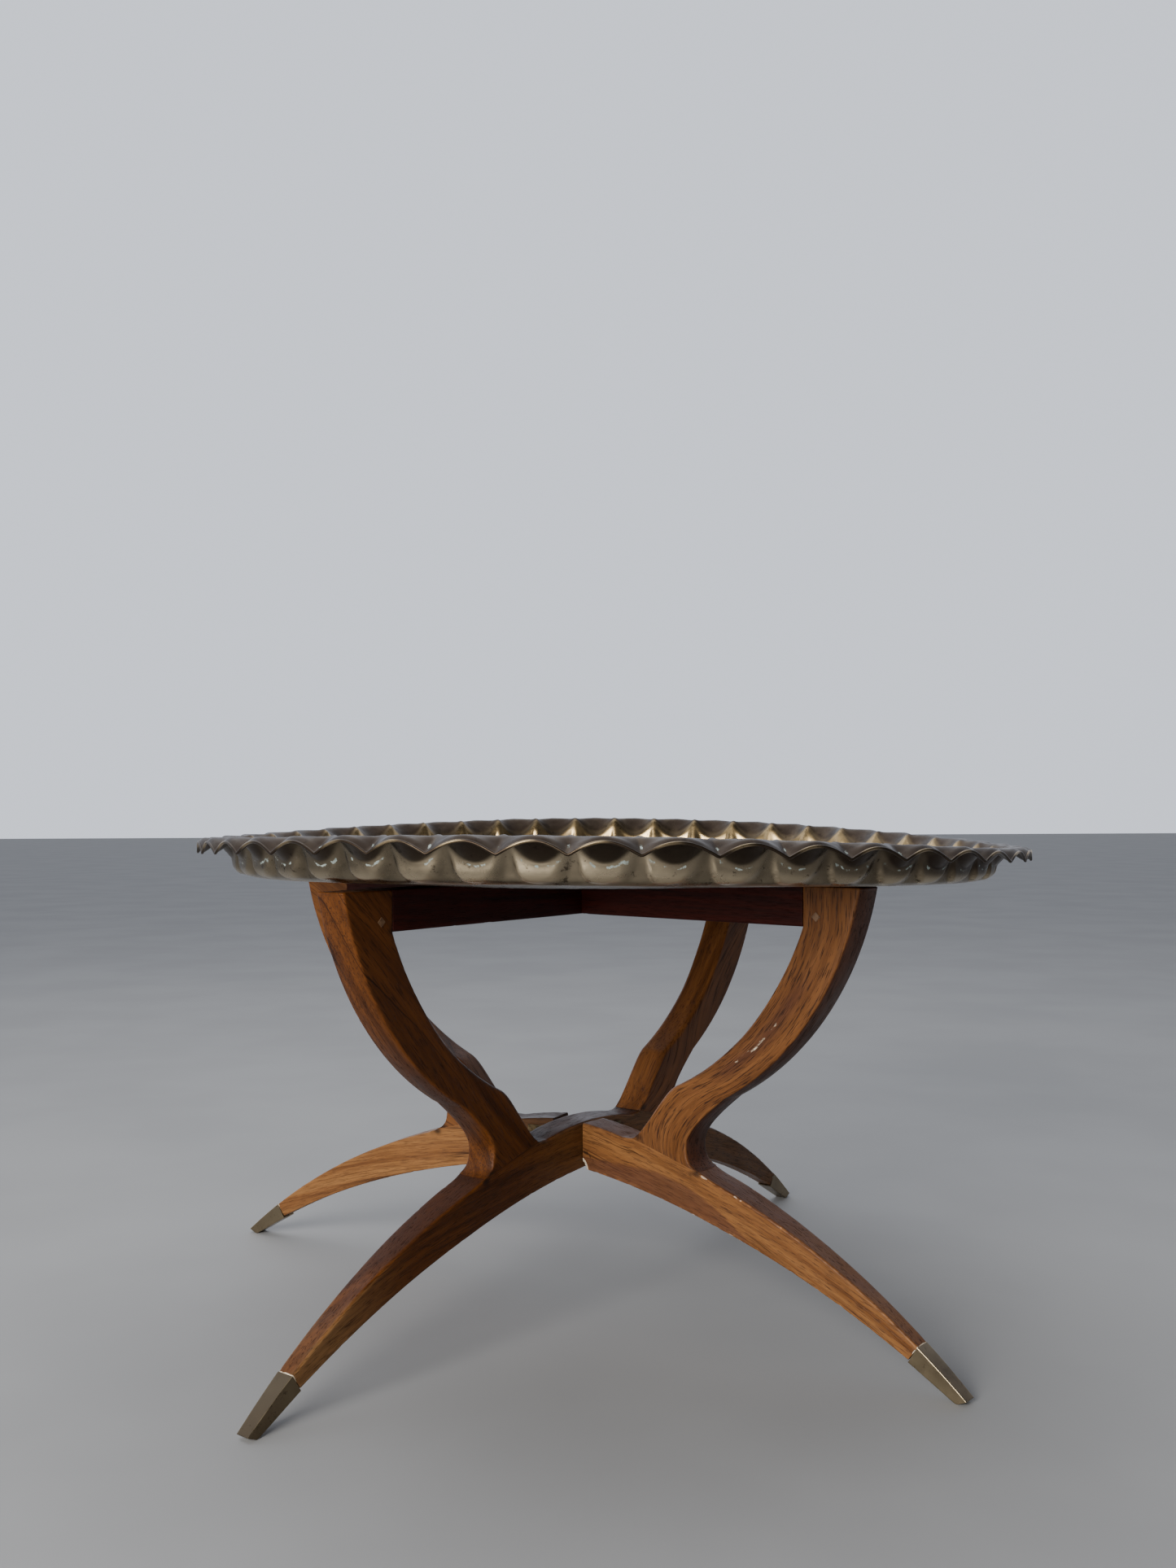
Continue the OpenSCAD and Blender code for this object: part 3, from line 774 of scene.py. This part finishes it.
def build_arm(corner, follow, seed, paint):
    """A curved arm, from the stand's top down to its glued seam on the leg."""
    count = 190
    outer, inner = arm_edges(count)
    along = np.linspace(0, 1, count)
    outer_arris = 2.2 - 1.9 * ease(along, 0.95, 1.0)
    inner_arris = 1.6 + 2.8 * ease(along, 0.30, 0.50) - 4.1 * ease(along, 0.82, 1.0)
    arm = board_mesh(
        corner + "_arm_wood", outer, inner, HALF, outer_arris, inner_arris, (1.4, 0.08), 50 + seed,
        crown=1.6,
    )
    return finish_board(arm, PLACES[corner], 50, follow, 60 + seed, paint, 24)


def build_rail(name, corner, start, count, seed):
    """A straight top rail, from start to the arm."""
    x = np.linspace(start, RAIL_R, count)
    top, low = np.stack([x, 0 * x + STAND_H], 1), np.stack([x, 0 * x + RAIL_Z], 1)
    rail = board_mesh(name + "_wood", top, low, HALF, 1.0, 1.6, (0.5, 0.5), 70 + seed)
    return finish_board(rail, PLACES[corner], 0, 0, 80 + seed, None, 20)


def build_boards():
    """All boards, by the names of the CAD nodes that they replace."""
    pieces = {
        "main_beam": build_beam(),
        "front_right_leg": build_leg("front_right", -12, 31, paint_front_right_leg),
        "back_left_leg": build_leg("back_left", 6, 41, paint_back_left_leg),
    }
    arm_looks = {"front_left": (0.10, paint_front_left_arm), "front_right": (0.85, paint_front_right_arm)}
    for seed, corner in enumerate(PLACES):
        follow, paint = arm_looks.get(corner, (0.30, paint_arm))
        pieces[corner + "_arm"] = build_arm(corner, follow, seed, paint)
    pieces["main_rail"] = build_rail("main_rail", "back_right", -RAIL_R, 220, 0)
    for seed, corner in enumerate(("front_right", "back_left"), 1):
        name = corner + "_rail"
        pieces[name] = build_rail(name, corner, PIN, 110, seed)
    return pieces


# ---------------- the ferrules

# painted light of each ferrule: lighter where it faces the window, darker where it is turned away into
# shade
FERRULE_PAINTED_LIGHT = {"front_right": 0.26, "back_left": 0.26, "front_left": 0.04, "back_right": 0.15}
# The sleeve's wall, how far it stands proud of the leg, and how much its toe is cut
SLEEVE, PROUD, TOE_CUT = 1.2, 0.15, 2
# The sole, from where the under edge comes down to it, to the toe's eased corner
SOLE = [(404.5, 0.15), (406.8, 0.15), (407.4, 0.3)]


def ferrule_edges(count):
    """The ferrule's upper and lower edge. Each starts inside the sleeve and turns out over its end."""
    x = np.linspace(CUFF_TOP[0], FOOT_REACH - TOE_CUT, 60)
    top = along_path(np.stack([x, leg_top(x)], 1), count)
    low = along_path(np.array([CUFF_LOW, *SOLE]), count)
    up = (top[0] - low[0]) / np.hypot(*(top[0] - low[0]))
    back = np.array([up[1], -up[0]])
    for edge, inward in ((top, -up), (low, up)):
        inner = edge[0] + inward * SLEEVE
        yield np.vstack([[inner + back * 5, inner + back * 0.4, inner, edge[0] + inward * 0.3], edge])


def build_ferrule(corner, seed):
    """A tapered square brass sleeve with a short return inside its upper end."""
    edge_a, edge_b = ferrule_edges(90)
    w = half_width(edge_a[:, 0])
    w[:3] -= SLEEVE
    w[3] -= 0.3
    w[4:] += PROUD
    arris = np.full(len(edge_a), 0.75)
    arris[:4] = 0.3
    data = board_mesh(corner + "_ferrule_brass", edge_a, edge_b, w, arris, arris, (0.02, 0.5), seed)
    points = data["points"]
    uneven = 0.08 * soft_noise(points, 9, seed)
    moved = points + np.stack([0 * uneven, np.sign(points[:, 1]) * uneven, 0 * uneven], 1)
    piece = new_mesh(data["name"], moved, data["faces"], 35)
    put_in_place(piece, PLACES[corner])

    finish = np.zeros((len(points), 4))
    # rubbed arrises, and each ferrule's painted light
    upper_arris = peak(data["arris"], 0, 0.55) * np.where(data["p"] > data["h"] / 2, 1.0, 0.25)
    finish[:, 0] = 0.32 * upper_arris + FERRULE_PAINTED_LIGHT[corner]
    on_top = ease(data["p"] - data["h"], -1.0, -0.3)
    # dark patina, with painted shade on the upper faces
    finish[:, 1] = 0.30 + 0.5 * on_top + 0.2 * soft_noise(points, 22, seed + 3)
    finish[:, 1] *= 1 - ease(upper_arris, 0.2, 0.7)
    finish[:, 2] = 0.5 * (1 - ease(data["along"], 6, 9))
    store(piece, "finish", finish)
    return piece


# ---------------- materials

class Tree:
    """A material's or world's nodes, made with short calls whose inputs are sockets or values."""

    def __init__(self, name, owners=bpy.data.materials):
        self.owner = owners.new(name)
        self.owner.use_nodes = True
        self.tree = self.owner.node_tree
        self.tree.nodes.clear()

    def put(self, socket, value):
        if isinstance(value, bpy.types.NodeSocket):
            self.tree.links.new(value, socket)
        else:
            socket.default_value = (*value, 1.0) if socket.type == "RGBA" else value

    def node(self, kind, inputs, **settings):
        made = self.tree.nodes.new(kind)
        for key, value in settings.items():
            setattr(made, key, value)
        for key, value in inputs.items():
            self.put(made.inputs[key], value)
        return made

    def math(self, operation, a, b=0.0, clamp=False):
        made = self.node("ShaderNodeMath", {0: a, 1: b}, operation=operation, use_clamp=clamp)
        return made.outputs[0]

    def scaled(self, vector, factors, shift=(0.0, 0.0, 0.0)):
        """The vector times the factors, plus the shift."""
        inputs = {0: vector, 1: factors, 2: shift}
        return self.node("ShaderNodeVectorMath", inputs, operation="MULTIPLY_ADD").outputs[0]

    def swing(self, value, share):
        """The value's swing about one half, times the share."""
        return self.math("MULTIPLY", self.math("SUBTRACT", value, 0.5), share)

    def noise(self, vector, scale=1.0, detail=2.0, rough=0.5):
        inputs = {"Vector": vector, "Scale": scale, "Detail": detail, "Roughness": rough}
        return self.node("ShaderNodeTexNoise", inputs).outputs[0]

    def band(self, value, low, high, start=0.0, end=1.0):
        """From start, where the value is low, smoothly to end, where it is high."""
        inputs = {"Value": value, "From Min": low, "From Max": high, "To Min": start, "To Max": end}
        return self.node("ShaderNodeMapRange", inputs, interpolation_type="SMOOTHSTEP").outputs[0]

    def mix(self, factor, a, b):
        """Colour a where the factor is 0, colour b where it is 1."""
        inputs = {0: factor, 6: a, 7: b}
        return self.node("ShaderNodeMix", inputs, data_type="RGBA", clamp_factor=True).outputs[2]

    def place(self, frame_name):
        return self.node("ShaderNodeTexCoord", {}).outputs[frame_name]

    def attribute(self, name):
        """The attribute's vector, and its red, green, blue and alpha."""
        made = self.node("ShaderNodeAttribute", {}, attribute_name=name)
        split = self.node("ShaderNodeSeparateColor", {"Color": made.outputs["Color"]})
        return made.outputs["Vector"], *split.outputs[:3], made.outputs["Alpha"]

    def bump(self, height, distance, strength, under=None):
        inputs = {"Height": height, "Distance": distance, "Strength": strength}
        if under is not None:
            inputs["Normal"] = under
        return self.node("ShaderNodeBump", inputs).outputs[0]

    def finish(self, **inputs):
        """Ends a material's tree with its shader, whose inputs are named with _ for a space."""
        named = {key.replace("_", " "): value for key, value in inputs.items()}
        shader = self.node("ShaderNodeBsdfPrincipled", named)
        self.node("ShaderNodeOutputMaterial", {"Surface": shader.outputs["BSDF"]})
        return self.owner


BLEACHED_WOOD, BARE_WOOD = (0.270, 0.140, 0.055), (0.60, 0.44, 0.32)
FILLER, DIRT_AND_SHADE, VERDIGRIS = (0.62, 0.52, 0.38), (0.010, 0.005, 0.003), (0.33, 0.39, 0.36)


def times(colour, share):
    """The colour made darker, or lighter if the share is over 1."""
    return tuple(min(1.0, c * share) for c in colour)


def wood(name, light, middle, dark, heart_and_sheen, pith, figure=0.4, lines=0.7, pores=0.5, gloss=0.40, wear=0.6):
    """Oiled open-pored hardwood. Its growth rings run round a pith line beside the board, given as
    the offset across the face, the depth and the slope along the board."""
    t = Tree(name)
    grain = t.attribute("grain")[0]

    def specks(factors, detail, rough=0.5):
        return t.noise(t.scaled(grain, factors), detail=detail, rough=rough)

    _, worn, dirt_and_shade, purple, filler = t.attribute("finish")
    sway = t.math("SUBTRACT", specks((4, 13, 13), 2), 0.5)
    across = t.node("ShaderNodeCombineXYZ", {"Y": sway, "Z": sway}).outputs[0]
    section = t.scaled(grain, (0.0, 1.0, 1.0), (0.0, pith[0], pith[1]))
    section = t.scaled(across, (0.0, 0.016, 0.010), section)
    radius = t.node("ShaderNodeVectorMath", {0: section}, operation="LENGTH").outputs["Value"]
    length = t.node("ShaderNodeSeparateXYZ", {"Vector": grain}).outputs["X"]
    radius = t.math("ADD", radius, t.math("MULTIPLY", length, pith[2]))
    rings = t.node("ShaderNodeCombineXYZ", {"X": length, "Y": radius}).outputs[0]
    growth = t.noise(t.scaled(rings, (1.5, 120, 0)), detail=3, rough=0.55)
    broad = t.noise(t.scaled(rings, (2.0, 38, 0), (3.0, 0.0, 0.0)), detail=2)
    contour = t.noise(t.scaled(rings, (2.5, 95, 0), (7.0, 0.0, 0.0)), detail=2, rough=0.4)
    line = t.band(t.math("ABSOLUTE", t.math("SUBTRACT", contour, 0.52)), 0.0, 0.020, 1.0, 0.0)
    line = t.math("MULTIPLY", line, t.band(specks((7, 30, 30), 2), 0.42, 0.60))
    strokes = t.band(specks((75, 1150, 800), 2, 0.6), 0.53, 0.65)
    fibre = specks((22, 330, 260), 3, 0.65)
    colour = t.mix(t.band(growth, 0.32, 0.66), middle, light)
    colour = t.mix(t.band(broad, 0.52, 0.74, 0.0, figure), colour, dark)
    colour = t.mix(t.band(growth, 0.42, 0.34, 0.0, 0.35 * lines), colour, dark)
    colour = t.mix(t.math("MULTIPLY", line, lines), colour, times(dark, 0.4))
    # purple: heartwood, and painted purple-grey sheen on upper, outer and inner faces
    colour = t.mix(t.math("MULTIPLY", purple, 0.85, clamp=True), colour, heart_and_sheen)
    colour = t.mix(t.math("MULTIPLY", purple, -1.0, clamp=True), colour, BLEACHED_WOOD)
    colour = t.mix(t.band(fibre, 0.34, 0.58, 0.38, 0.0), colour, dark)
    colour = t.mix(t.math("MULTIPLY", strokes, pores), colour, times(dark, 0.5))
    colour = t.mix(t.band(specks((14, 26, 26), 3), 0.55, 0.78, 0.0, 0.30), colour, times(middle, 0.5))
    patchy = specks((120, 260, 260), 3, 0.7)
    brightened = t.math("MULTIPLY", worn, t.band(patchy, 0.42, 0.66, 0.08, 1.0), clamp=True)
    colour = t.mix(t.math("MULTIPLY", brightened, 0.5 * wear), colour, times(light, 1.9))
    chipped = t.band(t.math("MULTIPLY", worn, patchy), 0.62, 0.80, 0.0, wear)
    colour = t.mix(chipped, colour, BARE_WOOD)
    # dark: dirt, glue lines and cracks, and painted shade in corners and near the hub
    colour = t.mix(dirt_and_shade, colour, DIRT_AND_SHADE)
    colour = t.mix(t.band(t.math("MULTIPLY", filler, patchy), 0.30, 0.42), colour, FILLER)
    rough = t.band(specks((20, 60, 60), 3), 0.3, 0.7, gloss - 0.06, gloss + 0.10)
    rough = t.math("ADD", rough, t.math("MULTIPLY", strokes, 0.2))
    normal = t.bump(t.math("SUBTRACT", t.math("MULTIPLY", fibre, 0.4), strokes), 0.00020, 0.5)
    normal = t.bump(specks((30, 90, 90), 2), 0.0006, 0.18, normal)
    return t.finish(Base_Color=colour, Roughness=rough, Normal=normal, Specular_IOR_Level=0.18)


def aged_brass(name, base, bright, olive, patina, hammered, blotchy):
    """Tarnished brass: rubbed wear and painted highlights show bright on upper faces and olive on lower
    ones, patina and painted shade dark, green in creases.
    """
    t = Tree(name)
    _, brightened, dark, green, upper = t.attribute("finish")
    place = t.place("Object")
    clouds = t.noise(place, 9, 4, 0.6)
    mottle = t.noise(place, 55, 4, 0.65)
    shine = t.math("ADD", brightened, t.swing(clouds, blotchy))
    shine = t.math("ADD", shine, t.swing(mottle, 0.6 * blotchy), clamp=True)
    colour = t.mix(shine, base, t.mix(upper, olive, bright))
    # darkened towards patina: real patina, and painted shade under the tray's rim and on the ferrules' tops
    patina_and_shade = t.math("MULTIPLY", dark, t.band(mottle, 0.25, 0.60, 0.78, 1.0), clamp=True)
    colour = t.mix(patina_and_shade, colour, patina)
    spots = t.band(t.noise(place, 140, 4, 0.7), 0.60, 0.70, 0.0, 0.7)
    colour = t.mix(spots, colour, times(patina, 0.5))
    crust = t.band(t.math("MULTIPLY", green, t.noise(place, 160, 5, 0.75)), 0.46, 0.60)
    colour = t.mix(crust, colour, VERDIGRIS)
    metal = t.band(crust, 0.0, 1.0, 1.0, 0.15)
    metal = t.math("SUBTRACT", metal, t.math("MULTIPLY", patina_and_shade, 0.15), clamp=True)
    rough = t.math("ADD", t.band(mottle, 0.3, 0.7, 0.24, 0.38), t.math("MULTIPLY", patina_and_shade, 0.08))
    rough = t.math("ADD", rough, t.math("MULTIPLY", crust, 0.35), clamp=True)
    normal = t.bump(t.noise(place, 75, 2, 0.4), 0.0012, hammered)
    normal = t.bump(t.noise(place, 420, 3, 0.6), 0.00012, 0.4, normal)
    return t.finish(Base_Color=colour, Metallic=metal, Roughness=rough, Normal=normal)


def plain_brass(name):
    """Dull brass of hinges, pins and screws, which has no painted values."""
    t = Tree(name)
    place = t.place("Object")
    mottle = t.noise(place, 130, 4, 0.6)
    colour = t.mix(t.band(mottle, 0.35, 0.65), (0.060, 0.043, 0.024), (0.17, 0.12, 0.06))
    colour = t.mix(t.band(t.noise(place, 420, 3, 0.7), 0.56, 0.66, 0.0, 0.8), colour, (0.06, 0.045, 0.03))
    rough = t.band(mottle, 0.3, 0.7, 0.32, 0.5)
    normal = t.bump(t.noise(place, 900, 2), 0.00006, 0.5)
    return t.finish(Base_Color=colour, Metallic=0.95, Roughness=rough, Normal=normal)


def end_grain(name):
    """Pegs and dowels: pale wood with fine pores."""
    t = Tree(name)
    place = t.place("Object")
    pores = t.band(t.noise(place, 1600, 2), 0.56, 0.64)
    colour = t.mix(t.band(t.noise(place, 180, 3), 0.35, 0.65), (0.090, 0.042, 0.017), (0.175, 0.094, 0.043))
    colour = t.mix(t.math("MULTIPLY", pores, 0.7), colour, (0.05, 0.025, 0.012))
    normal = t.bump(pores, 0.0001, -0.6)
    return t.finish(Base_Color=colour, Roughness=0.55, Normal=normal)


def floor_material():
    """Plain grey floor with a faint mottle."""
    t = Tree("pale_floor")
    place = t.place("Object")
    colour = t.mix(t.band(t.noise(place, 3, 3), 0.3, 0.7), (0.300, 0.298, 0.295), (0.330, 0.328, 0.325))
    return t.finish(Base_Color=colour, Roughness=0.75)


# ---------------- assembly

EASED_EDGE = 0.25


def body_of_node(node):
    """The name of the body that holds the CAD node."""
    bodies = frame["record"]["behaviour"]["bodies"]
    return next(name for name, nodes in bodies.items() if node in nodes)


def give(piece, material):
    """Makes it the piece's only material."""
    piece.data.materials.clear()
    piece.data.materials.append(material)


def add_piece(piece, node, material):
    """Puts a piece in the place of a CAD node, riding on its body."""
    give(piece, material)
    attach(piece, body_of_node(node))
    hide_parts(node)


WOODS = {
    "main": wood(
        "dark_rosewood", (0.118, 0.037, 0.0062), (0.072, 0.021, 0.0032), (0.022, 0.0062, 0.0014),
        (0.050, 0.018, 0.009), (0.045, 0.030, 0.06), figure=0.30, lines=0.9, pores=0.55, wear=0.65),
    "gold": wood(
        "golden_rosewood", (0.255, 0.112, 0.036), (0.170, 0.067, 0.021), (0.052, 0.016, 0.0055),
        (0.110, 0.044, 0.022), (0.080, 0.020, 0.10), figure=0.30, lines=0.8, pores=0.60, wear=0.9),
    "arm": wood(
        "golden_brown_rosewood", (0.178, 0.070, 0.0215), (0.118, 0.043, 0.0130), (0.032, 0.0105, 0.0038),
        (0.066, 0.023, 0.013), (0.060, 0.020, 0.05), figure=0.12, lines=0.3, pores=0.85, wear=0.7),
    "brown": wood(
        "brown_rosewood", (0.190, 0.070, 0.019), (0.122, 0.043, 0.012), (0.034, 0.011, 0.004),
        (0.085, 0.036, 0.020), (0.050, 0.030, 0.05), figure=0.3, lines=0.6, pores=0.55, wear=0.6),
    "tan": wood(
        "tan_rosewood", (0.285, 0.130, 0.043), (0.212, 0.088, 0.028), (0.062, 0.020, 0.007),
        (0.110, 0.042, 0.020), (0.030, 0.060, 0.03), figure=0.25, lines=0.9, pores=0.40, wear=0.5),
    "rail": wood(
        "rail_rosewood", (0.040, 0.0036, 0.0008), (0.022, 0.0018, 0.0004), (0.008, 0.0009, 0.0003),
        (0.020, 0.005, 0.002), (0.040, 0.030, 0.04), lines=0.6, pores=0.4, gloss=0.55, wear=0.2),
}
BOARD_WOODS = {
    "main_beam": "main", "main_rail": "rail", "front_left_arm": "main", "back_right_arm": "brown",
    "front_right_leg": "gold", "front_right_arm": "arm", "front_right_rail": "rail",
    "back_left_leg": "tan", "back_left_arm": "brown", "back_left_rail": "rail",
}
for node, piece in build_boards().items():
    add_piece(piece, node, WOODS[BOARD_WOODS[node]])

tray_brass = aged_brass(
    "tray_brass", (0.092, 0.074, 0.050), (0.82, 0.58, 0.28), (0.62, 0.51, 0.345), (0.034, 0.022, 0.014),
    hammered=0.20, blotchy=0.5,
)
add_piece(build_tray(), "tray", tray_brass)

ferrule_brass = aged_brass(
    "ferrule_brass", (0.150, 0.114, 0.070), (0.90, 0.70, 0.42), (0.90, 0.72, 0.45), (0.090, 0.066, 0.041),
    hammered=0.08, blotchy=0.3,
)
for seed, corner in enumerate(PLACES):
    ferrule = build_ferrule(corner, 90 + seed)
    add_piece(ferrule, corner + "_ferrule", ferrule_brass)

# the hinges, screws, pegs and dowels keep their CAD shapes, with eased edges
hinge_brass, peg_wood = plain_brass("hinge_brass"), end_grain("peg_wood")
replaced = set(BOARD_WOODS) | {"tray"} | {corner + "_ferrule" for corner in PLACES}
for node, cad_piece in frame["nodes"].items():
    if node in replaced:
        continue
    give(cad_piece, peg_wood if "peg" in node or "dowel" in node else hinge_brass)
    bevel = cad_piece.modifiers.new("eased_edges", "BEVEL")
    bevel.width = EASED_EDGE * MM
    bevel.segments = 2
    bevel.angle_limit = math.radians(35)


# ---------------- floor, light and camera

def add_floor():
    """A wide plain floor."""
    half = 30.0
    mesh = bpy.data.meshes.new("floor")
    corners = [(-half, -half, 0), (half, -half, 0), (half, half, 0), (-half, half, 0)]
    mesh.from_pydata(corners, [], [(0, 1, 2, 3)])
    floor = new_object("floor", mesh)
    give(floor, floor_material())


def add_area_light(name, place, target, size, power, colour):
    """A rectangular light at a place, which shines towards the target."""
    light = bpy.data.lights.new(name, "AREA")
    light.shape = "RECTANGLE"
    light.size, light.size_y = size
    light.energy = power
    light.color = colour
    lamp = new_object(name, light)
    away = Matrix.Translation(place).to_translation() - Matrix.Translation(target).to_translation()
    lamp.rotation_euler = away.to_track_quat("Z", "Y").to_euler()
    lamp.location = place


def add_world():
    """A pale wall behind, and a dim room on the other sides."""
    dim, pale = (0.055, 0.056, 0.060, 1.0), (1.05, 1.11, 1.25, 1.0)
    towards_wall = (-0.20, 0.95, 0.24)
    t = Tree("studio", bpy.data.worlds)
    inputs = {0: t.place("Generated"), 1: towards_wall}
    toward = t.node("ShaderNodeVectorMath", inputs, operation="DOT_PRODUCT")
    half = t.node("ShaderNodeMath", {0: toward.outputs["Value"], 1: 0.5, 2: 0.5}, operation="MULTIPLY_ADD")
    ramp = t.node("ShaderNodeValToRGB", {"Fac": half.outputs[0]})
    ramp.color_ramp.interpolation = "EASE"
    for element, position, colour in zip(ramp.color_ramp.elements, (0.42, 0.92), (dim, pale)):
        element.position = position
        element.color = colour
    background = t.node("ShaderNodeBackground", {"Color": ramp.outputs["Color"], "Strength": 0.9})
    t.node("ShaderNodeOutputWorld", {"Surface": background.outputs["Background"]})
    bpy.context.scene.world = t.owner


def add_camera():
    place, heading, pitch, roll = (-0.0991, -1.375, 0.46825), -3.12, 91.31, -0.23
    camera = bpy.data.cameras.new("camera")
    camera.sensor_width = 36.0
    camera.lens = 31.55
    camera.clip_end = 100.0
    holder = new_object("camera", camera)
    turn = turned(heading) @ Matrix.Rotation(math.radians(pitch), 4, "X") @ turned(roll)
    holder.matrix_world = Matrix.Translation(place) @ turn
    bpy.context.scene.camera = holder


add_floor()
add_world()
stand_middle = (0, 0, 0.3)
add_area_light("window", (-1.9, -2.9, 1.35), stand_middle, (2.2, 2.0), 190, (1.0, 0.985, 0.96))
add_area_light("ceiling", (-0.3, 0.8, 2.9), stand_middle, (3.0, 3.0), 40, (0.95, 0.97, 1.0))
add_camera()

bpy.context.view_layer.update()
